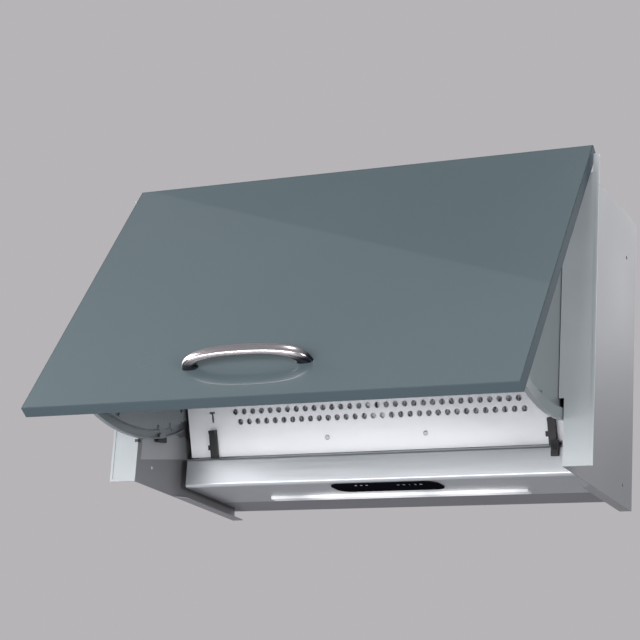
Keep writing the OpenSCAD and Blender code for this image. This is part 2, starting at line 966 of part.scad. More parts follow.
module hinge_pins() {
    color(steel) {
        hinge_pin();
        left() hinge_pin();
    }
}

module hinge_bush() {
    difference() {
        rod(pin_r + bush_wall - press_slack, arm_x, arm_x + arm_t, hinge_y, hinge_z);
        rod(pin_r + running_gap, arm_x - overrun, arm_x + arm_t + overrun, hinge_y, hinge_z);
    }
}

module hinge_bushes() {
    color(black) opened() {
        hinge_bush();
        left() hinge_bush();
    }
}

// Swing arm: a sector plate with a stepped rim and a round nose, drawn with the front closed
module arm_outline() {
    far = 1.2 * rim_r;
    nose = rim_reach(rim_r - arm_eye_r + nose_over, arm_span);
    edge = (arm_eye_r - nose_over) * [cos(arm_span), sin(arm_span)];
    polygon([
        [door_back, hinge_z], [door_back, hinge_z - far], hinge_point(far, arm_span / 2),
        hinge_point(far, arm_span), hinge_point(nose, arm_span), hinge_point(nose, arm_span) + edge,
        [hinge_y, hinge_z] + edge, [hinge_y, hinge_z]
    ]);
    translate(hinge_point(nose, arm_span)) circle(r = arm_eye_r);
    translate([hinge_y, hinge_z]) circle(r = arm_eye_r);
}

module rim_ring() {
    root = rim_r - rim_w;
    outer = arm_x + arm_t + rim_step;
    translate([0, rim_y, rim_z]) rotate([0, 90, 0]) rotate_extrude($fn = 180) {
        translate([root, outer - rim_sheet]) square([rim_w, rim_sheet]);
        translate([root, arm_x]) square([rim_lip, outer - arm_x]);
        translate([rim_r - rim_lip, arm_x + rim_lip_in]) square([rim_lip, outer - arm_x - rim_lip_in]);
    }
}

module arm_plate() {
    slab(arm_x, arm_x + arm_t) intersection() {
        arm_outline();
        translate([rim_y, rim_z]) circle(r = rim_r - rim_w + rim_lip / 2, $fn = 180);
    }
}

// Pressed tab on the inner face, square to the line from the hinge
module stud(i) {
    place = hinge_point(stud_radius_shares[i] * rim_r, stud_angles[i]);
    slab(arm_x - stud_h, arm_x + arm_t + rim_step - rim_sheet / 2)
        translate(place) rotate(stud_angles[i]) square([stud_w, stud_len], center = true);
}

module stud_slot(i) {
    place = hinge_point(stud_radius_shares[i] * rim_r - (stud_len + stud_slot_len) / 2, stud_angles[i]);
    slab(arm_x - overrun, arm_x + arm_t + rim_step - rim_sheet)
        translate(place) rotate(stud_angles[i]) square([stud_w, stud_slot_len], center = true);
}

module arm_closed() {
    difference() {
        union() {
            arm_plate();
            intersection() {
                rim_ring();
                slab(arm_x - overrun, wall_x) arm_outline();
            }
            block([arm_x - tab_w, door_back, tab_top - tab_len],
                  [arm_x + arm_t, door_back + tab_t, tab_top]);
            for (i = [0 : len(stud_angles) - 1]) stud(i);
            boss_place = hinge_point(rim_reach(rim_r, boss_angle), boss_angle);
            intersection() {
                rod(boss_r, arm_x + rim_lip_in, arm_x + rim_lip_in + boss_t,
                    boss_place[0], boss_place[1]);
                rod(rim_r, arm_x - overrun, wall_x, rim_y, rim_z, fine_faces);
            }
        }
        for (i = [0 : len(stud_angles) - 1]) stud_slot(i);
        rod(pin_r + bush_wall, arm_x - overrun, wall_x, hinge_y, hinge_z);
        for (i = [0 : len(plate_hole_angles) - 1]) {
            place = hinge_point(plate_hole_radius_shares[i] * rim_r, plate_hole_angles[i]);
            rod(arm_hole_r, arm_x - overrun, arm_x + arm_t + overrun, place[0], place[1]);
        }
        door_screw_places() translate([0, door_back - overrun, 0]) rotate([-90, 0, 0])
            cylinder(h = 2 * overrun + tab_t, r = arm_hole_r);
    }
}

module right_arm() {
    color(steel) opened() arm_closed();
}

module left_arm() {
    color(steel) opened() left() arm_closed();
}

// Screws through the arms' tabs into the panel
module door_screw_places() {
    for (share = door_screw_share)
        translate([arm_x - tab_w / 2, 0, tab_top - share * tab_len]) children();
}

module door_screw() {
    translate([0, door_back - door_screw_len, 0]) rotate([-90, 0, 0])
        cylinder(h = door_screw_len + tab_t + door_screw_head_t / 2, r = door_screw_r);
    translate([0, door_back + tab_t, 0]) rotate([-90, 0, 0])
        cylinder(h = door_screw_head_t, r1 = door_screw_head_r, r2 = door_screw_head_r * 3 / 4);
}

module door_screws() {
    color(steel) opened() {
        door_screw_places() door_screw();
        left() door_screw_places() door_screw();
    }
}

// Furniture front with its edging and handle
module door_panel() {
    half = door_w / 2 - edging_t;
    color(teal) opened() difference() {
        block([-half, door_back - door_t, closed_bottom + edging_t],
              [half, door_back, closed_top - edging_t]);
        for (side = [-1, 1], share = door_screw_share)
            translate([side * (arm_x - tab_w / 2), door_back - door_screw_len,
                       tab_top - share * tab_len])
                rotate([-90, 0, 0])
                    cylinder(h = door_screw_len + overrun, r = door_screw_r + press_slack);
        for (side = [-1, 1])
            translate([handle_x + side * handle_pitch / 2, door_back - door_t - overrun,
                       closed_bottom + handle_rise])
                rotate([-90, 0, 0])
                    cylinder(h = door_t + 2 * overrun, r = handle_screw_r + hole_slack);
    }
}

module door_edging() {
    color(teal_edge) opened() difference() {
        block([-door_w / 2, door_back - door_t, closed_bottom], [door_w / 2, door_back, closed_top]);
        block([-door_w / 2 + edging_t, door_back - door_t - overrun, closed_bottom + edging_t],
              [door_w / 2 - edging_t, door_back + overrun, closed_top - edging_t]);
    }
}

// Bow handle, swept from foot to foot along a flattened arch that ends square on the panel
bow_half = handle_pitch / 2 + bow_foot_out;
bow_rise = handle_reach - bow_t / 2;

function bow_share(i) = -cos(180 * i / bow_rings);
function bow_place(i) = let (s = bow_share(i))
    [bow_half * s, bow_rise * pow(max(0, 1 - pow(abs(s), arch_share)), 1 / arch_rise_share)];
function bow_heading(i) =
    i == 0 ? [0, 1] : i == bow_rings ? [0, -1]
    : let (way = bow_place(i + 1) - bow_place(i - 1)) way / norm(way);
function bow_drop(i) = 1 - bow_place(i)[1] / bow_rise;
function bow_width(i) = bow_w + (bow_foot_w - bow_w) * pow(bow_drop(i), 2);
function bow_thick(i) = bow_t + (handle_foot - bow_t) * pow(bow_drop(i), 3);
function rounded(value) = sign(value) * pow(abs(value), 2 / section_share);
function bow_point(i, a) =
    let (place = bow_place(i), way = bow_heading(i), out = rounded(sin(a)) * bow_thick(i) / 2)
    [handle_x + place[0] - way[1] * out,
     door_back - door_t - place[1] - way[0] * out,
     closed_bottom + handle_rise + rounded(cos(a)) * bow_width(i) / 2];

module handle() {
    points = [for (i = [0 : bow_rings], k = [0 : bow_sides - 1]) bow_point(i, full_turn * k / bow_sides)];
    skin = [for (i = [0 : bow_rings - 1], k = [0 : bow_sides - 1])
        let (a = i * bow_sides + k, b = i * bow_sides + (k + 1) % bow_sides)
        each [[a, a + bow_sides, b], [b, a + bow_sides, b + bow_sides]]];
    ends = [
        [for (k = [0 : bow_sides - 1]) k],
        [for (k = [0 : bow_sides - 1]) bow_rings * bow_sides + bow_sides - 1 - k]
    ];
    color(nickel) opened() polyhedron(points = points, faces = concat(skin, ends));
}

module handle_screws() {
    color(steel) opened() for (side = [-1, 1])
        translate([handle_x + side * handle_pitch / 2, door_back - door_t,
                   closed_bottom + handle_rise])
            rotate([-90, 0, 0]) {
                cylinder(h = door_t + handle_screw_head_t / 2, r = handle_screw_r);
                translate([0, 0, door_t]) cylinder(h = handle_screw_head_t, r = handle_screw_head_r);
            }
}

// Fan scroll: a spiral case that opens upward into the duct collar
function scroll_radius(a) = scroll_start_r
    + (scroll_end_r - scroll_start_r) * (a - tongue_angle) / (270 - tongue_angle);

module scroll_outline(inset, above) {
    front = collar_y - collar_r;
    polygon(concat(
        [for (i = [0 : scroll_steps])
            let (a = tongue_angle + (270 - tongue_angle) * i / scroll_steps,
                 r = scroll_radius(a) - inset)
            [fan_y - r * sin(a), fan_z + r * cos(a)]],
        [[fan_y + scroll_end_r - inset, roof_under + above], [front + inset, roof_under + above]]
    ));
}

module fan_scroll() {
    half = wheel_w / 2 + scroll_side_gap + scroll_wall;
    color(dark_steel) difference() {
        across(2 * half) scroll_outline(0, 0);
        across(2 * half - 2 * scroll_wall) scroll_outline(scroll_wall, overrun);
        rod(inlet_r, -half - overrun, half + overrun, fan_y, fan_z);
    }
}

// Fan wheel: forward-curved blades between two rings, on a disc and hub
function blade_edge(offset) = [for (i = [0 : blade_steps])
    let (t = i / blade_steps, r = wheel_r - blade_depth + blade_depth * t,
         a = blade_sweep * t * t + offset * 180 / PI / r)
    [r * sin(a), r * cos(a)]];

module blade_outline() {
    inner = blade_edge(-blade_t / 2);
    outer = blade_edge(blade_t / 2);
    polygon(concat(inner, [for (i = [blade_steps : -1 : 0]) outer[i]]));
}

module wheel_ring(x0, x1, r) {
    difference() {
        rod(wheel_r + press_slack, x0, x1);
        rod(r, x0 - overrun, x1 + overrun);
    }
}

module fan_wheel() {
    bore = shaft_r + press_slack;
    color(black) translate([0, fan_y, fan_z]) difference() {
        union() {
            for (i = [0 : blade_count - 1])
                rotate([full_turn * i / blade_count, 0, 0]) across(wheel_w) blade_outline();
            wheel_ring(-wheel_w / 2, -wheel_w / 2 + ring_t, wheel_r - blade_depth - press_slack);
            wheel_ring(wheel_w / 2 - ring_t, wheel_w / 2, wheel_r - blade_depth - press_slack);
            wheel_ring(-ring_t / 2, ring_t / 2, bore);
            rod(hub_r, -hub_w / 2, hub_w / 2);
        }
        rod(bore, -hub_w, hub_w);
    }
}

motor_back = -wheel_w / 2 - scroll_side_gap - scroll_wall - motor_stand_off;
motor_front = -hub_w / 2 - motor_gap;

module fan_shaft() {
    color(steel) rod(shaft_r, motor_back + motor_stand_off + spider_foot_r, hub_w / 2, fan_y, fan_z);
}

module motor() {
    color(steel) difference() {
        union() {
            rod(motor_r, motor_back + spider_t, motor_front - spider_foot_r, fan_y, fan_z);
            rod(motor_r * 2 / 3, motor_back, motor_front, fan_y, fan_z);
        }
        rod(shaft_r + running_gap, motor_back + motor_stand_off, motor_front + overrun, fan_y, fan_z);
    }
}

module motor_bracket() {
    wall = motor_back + motor_stand_off;
    color(dark_steel) translate([0, fan_y, fan_z]) {
        rod(spider_disc_r, motor_back - spider_t, motor_back);
        for (a = [90, 210, 330]) rotate([a, 0, 0]) {
            block([motor_back - spider_t, -spider_arm_w / 2, 0],
                  [motor_back, spider_arm_w / 2, spider_reach]);
            rod(spider_foot_r, motor_back - spider_t, wall, 0, spider_reach);
        }
    }
}

// Duct collar with two flaps that stop the air from falling back
flap_z = roof_z + flap_up;
collar_in = collar_r - collar_wall;

module outlet_collar() {
    color(black) difference() {
        union() {
            post(collar_r, roof_z, roof_z + collar_h, 0, collar_y);
            post(collar_r + collar_flange, roof_z, roof_z + collar_flange_t, 0, collar_y);
        }
        difference() {
            post(collar_in, roof_z - overrun, roof_z + collar_h + overrun, 0, collar_y);
            for (a = [45, 135, 225, 315]) translate([0, collar_y, 0]) rotate([0, 0, a])
                block([collar_in - lug_in, -lug_w / 2, flap_z - flap_t / 2 - running_gap - lug_t],
                      [collar_r, lug_w / 2, flap_z - flap_t / 2 - running_gap]);
        }
        for (y = [-flap_axis_gap, flap_axis_gap])
            rod(flap_rod_r + running_gap, -collar_r - overrun, collar_r + overrun,
                collar_y + y, flap_z);
    }
}

module flap(side) {
    axis_y = collar_y + side * flap_axis_gap;
    r = collar_in - flap_gap;
    color(dark_steel) union() {
        rod(flap_rod_r, -collar_r, collar_r, axis_y, flap_z);
        intersection() {
            post(r, flap_z - flap_t / 2, flap_z + flap_t / 2, 0, collar_y);
            block([-collar_r, side > 0 ? axis_y : collar_y - collar_r, flap_z - flap_t],
                  [collar_r, side > 0 ? collar_y + collar_r : axis_y, flap_z + flap_t]);
        }
    }
}

module front_flap() {
    flap(-1);
}

module rear_flap() {
    flap(1);
}

// Electrical parts under the roof
module electronics_box() {
    low = roof_under - box_h;
    y0 = collar_y - box_d / 2;
    color(dark_steel) difference() {
        block([box_x - box_w / 2, y0, low], [box_x + box_w / 2, y0 + box_d, roof_under]);
        block([box_x - box_w / 2 + box_wall, y0 + box_wall, low + box_wall],
              [box_x + box_w / 2 - box_wall, y0 + box_d - box_wall, roof_under + overrun]);
    }
}

module capacitor() {
    low = roof_under - capacitor_r;
    color(black) union() {
        rod(capacitor_r, capacitor_x - capacitor_len / 2, capacitor_x + capacitor_len / 2,
            capacitor_y, low);
        block([capacitor_x - strap_w / 2, capacitor_y - capacitor_r, low],
              [capacitor_x + strap_w / 2, capacitor_y + capacitor_r, roof_under]);
    }
}

module cable_gland() {
    color(black) difference() {
        union() {
            post(gland_r - press_slack, roof_under - gland_tail, roof_z + gland_h,
                 gland_x, collar_y);
            post(gland_nut_r, roof_z, roof_z + gland_nut_t, gland_x, collar_y);
        }
        post(gland_bore, roof_under - gland_tail - overrun, roof_z + gland_h + overrun,
             gland_x, collar_y);
    }
}

left_side();
right_side();
rear_panel();
top_panel();
left_cheek();
right_cheek();
front_rail();
front_grille();
grille_screws();
left_filter_frame();
left_filter_mesh();
right_filter_frame();
right_filter_mesh();
filter_ledge();
front_beam();
beam_caps();
bottom_pan();
control_bezel();
control_board();
indicator_pipes();
button(0);  // button_1
button(1);  // button_2
button(2);  // button_3
button(3);  // button_4
button(4);  // button_5
light_lens();
light_board();
light_tray();
left_guide_plate();
right_guide_plate();
guide_pads();
notch_clips();
left_hinge_bracket();
right_hinge_bracket();
hinge_pins();
fan_scroll();
fan_wheel();
fan_shaft();
motor();
motor_bracket();
capacitor();
electronics_box();
cable_gland();
outlet_collar();
front_flap();
rear_flap();
case_screws();
left_latch();
right_latch();
door_panel();
door_edging();
handle();
handle_screws();
left_arm();
right_arm();
hinge_bushes();
door_screws();
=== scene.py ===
"""Built-in range hood with its furniture front standing open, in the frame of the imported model."""
import bmesh
import bpy
import math
from mathutils import Matrix, Vector
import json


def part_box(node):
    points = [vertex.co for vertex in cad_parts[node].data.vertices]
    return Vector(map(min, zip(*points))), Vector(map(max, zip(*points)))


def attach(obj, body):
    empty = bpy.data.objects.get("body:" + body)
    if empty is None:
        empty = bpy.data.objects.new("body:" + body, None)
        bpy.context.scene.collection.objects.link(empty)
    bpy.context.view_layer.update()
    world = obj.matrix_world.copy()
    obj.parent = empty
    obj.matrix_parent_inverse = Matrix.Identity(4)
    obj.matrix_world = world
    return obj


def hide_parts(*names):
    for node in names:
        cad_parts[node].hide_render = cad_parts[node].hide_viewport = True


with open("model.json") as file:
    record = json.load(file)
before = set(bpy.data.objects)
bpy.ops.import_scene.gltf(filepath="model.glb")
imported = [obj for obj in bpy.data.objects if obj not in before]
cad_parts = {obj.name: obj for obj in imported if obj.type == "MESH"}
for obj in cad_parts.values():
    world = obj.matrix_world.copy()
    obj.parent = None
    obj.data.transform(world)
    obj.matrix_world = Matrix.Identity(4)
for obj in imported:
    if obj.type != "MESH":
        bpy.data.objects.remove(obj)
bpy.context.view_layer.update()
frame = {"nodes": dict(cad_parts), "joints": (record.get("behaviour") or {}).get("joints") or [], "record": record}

NODES = frame["nodes"]
SLOT_OF = {row["node"]: row["material_slot"] for row in frame["record"]["subparts"]}
BODY_OF = {node: body for body, nodes in frame["record"]["behaviour"]["bodies"].items() for node in nodes}
BUTTONS = ["button_%d" % number for number in range(1, 6)]

MM = 0.001
X, Y, Z = range(3)

# Camera, as fitted to the photograph: focal length in pixels of a square picture, place in metres
FOCAL_PX = 1952.99
IMAGE_PX = 640
SENSOR_MM = 36.0
CAMERA_AT = Vector((0.92361, -1.96159, -0.77451))
CAMERA_YAW = math.radians(26.035)
CAMERA_PITCH = math.radians(15.887)
CAMERA_ROLL = math.radians(3.560)

# The room, in metres. The floor fades into the background between two distances from its middle.
FLOOR_Z = -1.3
FLOOR_SIZE = 16.0
FADE_START = 1.0
FADE_END = 3.2
LAMP_TARGET = (0, 0.05, -0.2)

# The furniture front turns about the line of this joint, and stands open by its whole range
FRONT_SWING = next(joint for joint in frame["joints"] if joint["name"] == "front_swing")
HINGE = Vector(FRONT_SWING["pos_m"])
OPEN_ANGLE = math.radians(FRONT_SWING["range_deg"][1])

# The furniture front when it is closed, in millimetres, and the middle of the handle on its outer face
FRONT_FACE = -16.0
FRONT_TOP = 25.7
FRONT_HALF_WIDTH = 291.0
HANDLE_X = -28.0
HANDLE_Z = -318.04


def opened(point):
    """A place on the closed furniture front, in metres, moved to where it is when the front is open."""
    y, z = point[Y] - HINGE.y, point[Z] - HINGE.z
    return Vector((
        point[X],
        HINGE.y + y * math.cos(OPEN_ANGLE) + z * math.sin(OPEN_ANGLE),
        HINGE.z - y * math.sin(OPEN_ANGLE) + z * math.cos(OPEN_ANGLE),
    ))


# The place on the open front under the middle of the handle, and the way that the open front looks
HANDLE_FACE = opened(Vector((HANDLE_X, FRONT_FACE, HANDLE_Z)) * MM)
FRONT_WAY = Vector((0, -math.cos(OPEN_ANGLE), math.sin(OPEN_ANGLE)))


def srgb(red, green, blue):
    """A colour given as 0 to 255 screen values, as the linear colour that a shader takes."""
    def linear(value):
        share = value / 255
        return share / 12.92 if share <= 0.04045 else ((share + 0.055) / 1.055) ** 2.4
    return (linear(red), linear(green), linear(blue), 1.0)


def shade_pair(colour, spread):
    """Two tones of one colour, a little darker and a little lighter."""
    dark = tuple(value * (1 - spread) for value in colour[:3]) + (1.0,)
    light = tuple(min(value * (1 + spread), 1.0) for value in colour[:3]) + (1.0,)
    return dark, light


BLACK = srgb(0, 0, 0)
WHITE = srgb(255, 255, 255)

# The surround as the camera sees it, and the cooler one that lights the object
BACKGROUND = srgb(183, 180, 183)
SKY_COLOUR = (0.92, 0.95, 1.0, 1.0)
SKY_STRENGTH = 0.40


class Shader:
    """Short calls that build one node material."""

    def __init__(self, name):
        self.material = bpy.data.materials.new(name)
        self.material.use_nodes = True
        self.tree = self.material.node_tree
        self.tree.nodes.clear()
        self.output = self.tree.nodes.new("ShaderNodeOutputMaterial")

    def feed(self, socket, value):
        """Links a source to a socket, or sets the socket to a number or colour."""
        if hasattr(value, "node"):
            self.tree.links.new(value, socket)
        else:
            socket.default_value = value

    def add(self, kind, **settings):
        """A new node. A setting feeds the input that has its name, or else is a choice of the node."""
        node = self.tree.nodes.new(kind)
        for key, value in settings.items():
            name = key.replace("_", " ")
            if name in node.inputs:
                self.feed(node.inputs[name], value)
            else:
                setattr(node, key, value)
        return node

    def place(self):
        """Object coordinates, in metres."""
        return self.add("ShaderNodeTexCoord").outputs["Object"]

    def mapped(self, scale=(1, 1, 1), turn=(0, 0, 0)):
        """Object coordinates, stretched and turned."""
        node = self.add("ShaderNodeMapping", Vector=self.place(), Scale=scale, Rotation=turn)
        return node.outputs["Vector"]

    def axis(self, index):
        """One object coordinate, in metres."""
        return self.add("ShaderNodeSeparateXYZ", Vector=self.place()).outputs[index]

    def noise(self, scale, detail, stretch=(1, 1, 1), roughness=0.55):
        """Cloudy noise from 0 to 1, finer with a larger scale. A small stretch draws it out on its axis."""
        node = self.add(
            "ShaderNodeTexNoise", Vector=self.mapped(stretch),
            Scale=scale, Detail=detail, Roughness=roughness,
        )
        return node.outputs["Fac"]

    def between(self, source, low, high):
        """0 below low, 1 above high and a straight slope between them."""
        node = self.add("ShaderNodeMapRange", Value=source, From_Min=low, From_Max=high)
        return node.outputs["Result"]

    def span(self, source, low, high):
        """Maps a value from 0..1 to low..high."""
        node = self.add("ShaderNodeMapRange", Value=source, To_Min=low, To_Max=high)
        return node.outputs["Result"]

    def ramp(self, source, start, end, first, last):
        """The first colour up to start, the last one from end on and a fade between them."""
        node = self.add("ShaderNodeValToRGB", Fac=source)
        low, high = node.color_ramp.elements
        low.position, low.color = start, first
        high.position, high.color = end, last
        return node.outputs["Color"]

    def tones(self, source, colour, spread, start=0.3, end=0.7):
        """One colour that follows a source from a little darker to a little lighter."""
        return self.ramp(source, start, end, *shade_pair(colour, spread))

    def mix(self, factor, first, second):
        """The first colour where the factor is 0 and the second where it is 1."""
        node = self.add("ShaderNodeMix", data_type="RGBA")
        for name, value in (("Factor", factor), ("A", first), ("B", second)):
            self.feed(next(socket for socket in node.inputs if socket.name == name and socket.enabled), value)
        return next(socket for socket in node.outputs if socket.enabled)

    def combine(self, kind, operation, *values):
        """The result of one operation of a Math or Vector Math node."""
        node = self.add(kind, operation=operation)
        for socket, value in zip(node.inputs, values):
            self.feed(socket, value)
        return next(socket for socket in node.outputs if socket.enabled)

    def bump(self, height, strength, distance):
        """A normal that follows a height. The distance is the height of 1, in metres."""
        node = self.add("ShaderNodeBump", Height=height, Strength=strength, Distance=distance)
        return node.outputs["Normal"]

    def surface(self, **inputs):
        """The finished material, with a Principled shader."""
        shader = self.add("ShaderNodeBsdfPrincipled", **inputs)
        self.tree.links.new(shader.outputs["BSDF"], self.output.inputs["Surface"])
        return self.material


def enamel(shader, cloud, tone, rough):
    """What paint gives a sheet: a fine orange-peel skin and a gloss that varies with a cloud."""
    skin = shader.noise(900.0, detail=2.0)
    return shader.surface(
        Base_Color=tone,
        Roughness=shader.span(cloud, rough - 0.05, rough + 0.06),
        Normal=shader.bump(skin, 0.12, 0.0004),
    )


def painted_steel(name, colour, rough=0.42, spread=0.05):
    """Powder-coated or painted sheet with a faint cloudy tone."""
    shader = Shader(name)
    cloud = shader.noise(9.0, detail=3.0)
    return enamel(shader, cloud, shader.tones(cloud, colour, spread), rough)


def side_sheet(name, flange, wall, rough=0.42, spread=0.04):
    """One folded sheet: the pale flange in front, and the wall behind it in a greyer colour that is painted shade
    inside the hood.
    """
    wall_starts, fade = -0.0002, 0.0003
    shader = Shader(name)
    cloud = shader.noise(9.0, detail=3.0)
    # Painted shade: everything behind the flange takes the darker wall colour
    wall_shade_mask = shader.between(shader.axis(Y), wall_starts - fade, wall_starts + fade)
    pale = shader.tones(cloud, flange, spread)
    grey = shader.tones(cloud, wall, spread)
    return enamel(shader, cloud, shader.mix(wall_shade_mask, pale, grey), rough)


def brushed_steel(name, colour, grain_axis, rough=0.34, metallic=0.85):
    """Brushed or rolled sheet: streaks drawn out along one axis."""
    streak_stretch, spread, cloud_share = 0.012, 0.07, 0.35
    stretch = [1.0, 1.0, 1.0]
    stretch[grain_axis] = streak_stretch
    shader = Shader(name)
    streaks = shader.noise(520.0, detail=5.0, stretch=stretch, roughness=0.62)
    cloud = shader.noise(6.0, detail=3.0)
    grain = shader.tones(streaks, colour, spread, start=0.25, end=0.75)
    return shader.surface(
        Base_Color=shader.mix(cloud_share, grain, shader.tones(cloud, colour, spread)),
        Metallic=metallic,
        Roughness=shader.span(streaks, rough - 0.07, rough + 0.09),
        Normal=shader.bump(streaks, 0.10, 0.0003),
    )


def moulded_plastic(name, colour, rough=0.45, relief=0.18, shine=0.5):
    """Moulded plastic with a fine spark-eroded grain."""
    shader = Shader(name)
    fine = shader.noise(650.0, detail=3.0)
    cloud = shader.noise(20.0, detail=2.0)
    return shader.surface(
        Base_Color=shader.tones(cloud, colour, 0.08),
        Roughness=shader.span(fine, rough - 0.06, rough + 0.08),
        Specular_IOR_Level=shine,
        Normal=shader.bump(fine, relief, 0.0002),
    )


def wire_mesh(name, colour):
    """Layered expanded metal of a grease filter: crossed strands with dark gaps."""
    lean = math.radians(32)
    shader = Shader(name)
    strands = []
    for turn in (lean, -lean):
        wave = shader.add(
            "ShaderNodeTexWave", wave_type="BANDS", bands_direction="X",
            Vector=shader.mapped(turn=(0, 0, turn)), Scale=60.0, Distortion=1.2, Detail_Scale=2.0,
        )
        strands.append(wave.outputs["Fac"])
    height = shader.combine("ShaderNodeMath", "MAXIMUM", *strands)
    return shader.surface(
        Base_Color=shader.tones(height, colour, 0.45, start=0.35, end=0.85),
        Metallic=0.8,
        Roughness=0.4,
        Normal=shader.bump(height, 0.8, 0.0015),
    )


def circuit_board(name, colour):
    """Solder-masked board with paler tracks."""
    shader = Shader(name)
    dark, light = shade_pair(colour, 0.25)
    fields = shader.add(
        "ShaderNodeTexVoronoi", feature="DISTANCE_TO_EDGE", distance="MANHATTAN",
        Vector=shader.mapped(), Scale=90.0,
    )
    from_track = fields.outputs["Distance"]
    return shader.surface(
        Base_Color=shader.ramp(from_track, 0.04, 0.09, light, dark),
        Roughness=0.38,
        Normal=shader.bump(from_track, 0.2, 0.0002),
    )


def glowing_lens(name, colour, strength):
    """Frosted lens of the light strip, with a glow that is uneven along its length."""
    shader = Shader(name)
    glow = shader.noise(14.0, detail=1.0, stretch=(1.0, 0.1, 0.1))
    tone = shader.ramp(glow, 0.3, 0.7, colour, WHITE)
    return shader.surface(
        Base_Color=tone,
        Roughness=0.35,
        Emission_Color=tone,
        Emission_Strength=strength,
    )


def lacquered_front(name, colour, rough=0.26, coat=0.35, shine=0.5):
    """Furniture lacquer: an almost even colour, satin gloss and a very fine skin."""
    shader = Shader(name)
    cloud = shader.noise(5.0, detail=2.0)
    skin = shader.noise(700.0, detail=2.0)
    return shader.surface(
        Base_Color=shader.tones(cloud, colour, 0.035, start=0.1, end=0.9),
        Roughness=shader.span(cloud, rough - 0.02, rough + 0.03),
        Specular_IOR_Level=shine,
        Coat_Weight=coat,
        Coat_Roughness=0.03,
        Normal=shader.bump(skin, 0.03, 0.0002),
    )


def satin_nickel(name, colour, foot_shade_colour):
    """Plated handle: soft gloss, a very fine lengthwise grain and painted shade on the feet, dark towards the
    front they stand on.
    """
    foot_shade_height = 0.016
    shader = Shader(name)
    grain = shader.noise(900.0, detail=3.0, stretch=(0.03, 1.0, 1.0))
    height = shader.combine("ShaderNodeVectorMath", "DOT_PRODUCT", shader.place(), FRONT_WAY)
    face = HANDLE_FACE.dot(FRONT_WAY)
    # Painted shade: the feet wear the dark colour up to half the foot height above the front, fading out by the
    # full height
    above_foot_shade = shader.between(height, face + foot_shade_height / 2, face + foot_shade_height)
    return shader.surface(
        Base_Color=shader.mix(above_foot_shade, foot_shade_colour, shader.tones(grain, colour, 0.08)),
        Metallic=1.0,
        Roughness=shader.span(grain, 0.20, 0.28),
        Normal=shader.bump(grain, 0.04, 0.0002),
    )


def floor_material():
    """Pale matt floor. Far from the object the camera sees it fade into the even background."""
    shader = Shader("studio_floor")
    cloud = shader.noise(2.0, detail=3.0)
    pale = shader.ramp(cloud, 0.3, 0.7, srgb(202, 201, 203), srgb(208, 207, 209))
    distance = shader.combine("ShaderNodeVectorMath", "LENGTH", shader.place())
    far = shader.between(distance, FADE_START, FADE_END)
    camera_ray = shader.add("ShaderNodeLightPath").outputs["Is Camera Ray"]
    faded = shader.combine("ShaderNodeMath", "MULTIPLY", far, camera_ray)
    return shader.surface(
        Base_Color=shader.mix(faded, pale, BLACK),
        Roughness=0.85,
        Specular_IOR_Level=0.0,
        Emission_Color=BACKGROUND,
        Emission_Strength=faded,
    )


# Every material of the object
MATERIALS = {
    # The second colour of the side sheets is painted shade on their walls inside the hood
    "side": side_sheet("side_sheet", srgb(152, 157, 160), srgb(122, 122, 126)),
    "case": painted_steel("case_steel", srgb(176, 180, 183)),
    "guide": painted_steel("guide_steel", srgb(156, 158, 161)),
    "inner": painted_steel("inner_steel", srgb(118, 119, 121), rough=0.45),
    "rear": painted_steel("rear_steel", srgb(100, 100, 105), rough=0.45),
    "grille": painted_steel("grille_enamel", srgb(246, 247, 251), rough=0.36, spread=0.02),
    "beam": brushed_steel("beam_steel", srgb(178, 181, 185), X),
    "arm": brushed_steel("arm_steel", srgb(131, 138, 141), Z, rough=0.38, metallic=0.3),
    "fixings": brushed_steel("screw_steel", srgb(198, 200, 202), X, rough=0.28),
    "filter_frame": brushed_steel("filter_frame_alloy", srgb(214, 216, 218), X, rough=0.36, metallic=0.3),
    "filter_mesh": wire_mesh("filter_mesh_alloy", srgb(172, 174, 178)),
    "black": moulded_plastic("black_plastic", srgb(24, 24, 27), rough=0.42),
    "gloss": moulded_plastic("gloss_black_plastic", srgb(14, 14, 19), rough=0.2, relief=0.02, shine=0.0),
    # Pale print of the button signs, which also stands in as painted highlights of the buttons
    "print": moulded_plastic("pale_print_and_highlight", srgb(186, 189, 196), rough=0.5),
    "tray": moulded_plastic("tray_white_plastic", srgb(228, 229, 230), rough=0.5),
    "pipe": moulded_plastic("indicator_clear", srgb(140, 144, 152), rough=0.3),
    "lens": glowing_lens("light_lens_glow", srgb(152, 154, 162), strength=0.25),
    "board": circuit_board("board_green", srgb(36, 92, 62)),
    "fan": moulded_plastic("fan_grey_plastic", srgb(92, 95, 99), rough=0.5),
    "motor": brushed_steel("motor_steel", srgb(150, 152, 155), Z, rough=0.4),
    "front": lacquered_front("front_teal_lacquer", srgb(76, 88, 92), coat=0.6, shine=0.4),
    # The edging is the front's teal painted darker as shade on the door's edges
    "edging": lacquered_front("edging_teal_painted_shade", srgb(68, 79, 85), rough=0.5, coat=0.0, shine=0.04),
    # The handle's second colour is painted shade on its feet near the front
    "handle": satin_nickel("handle_nickel", srgb(198, 190, 192), srgb(52, 54, 62)),
}

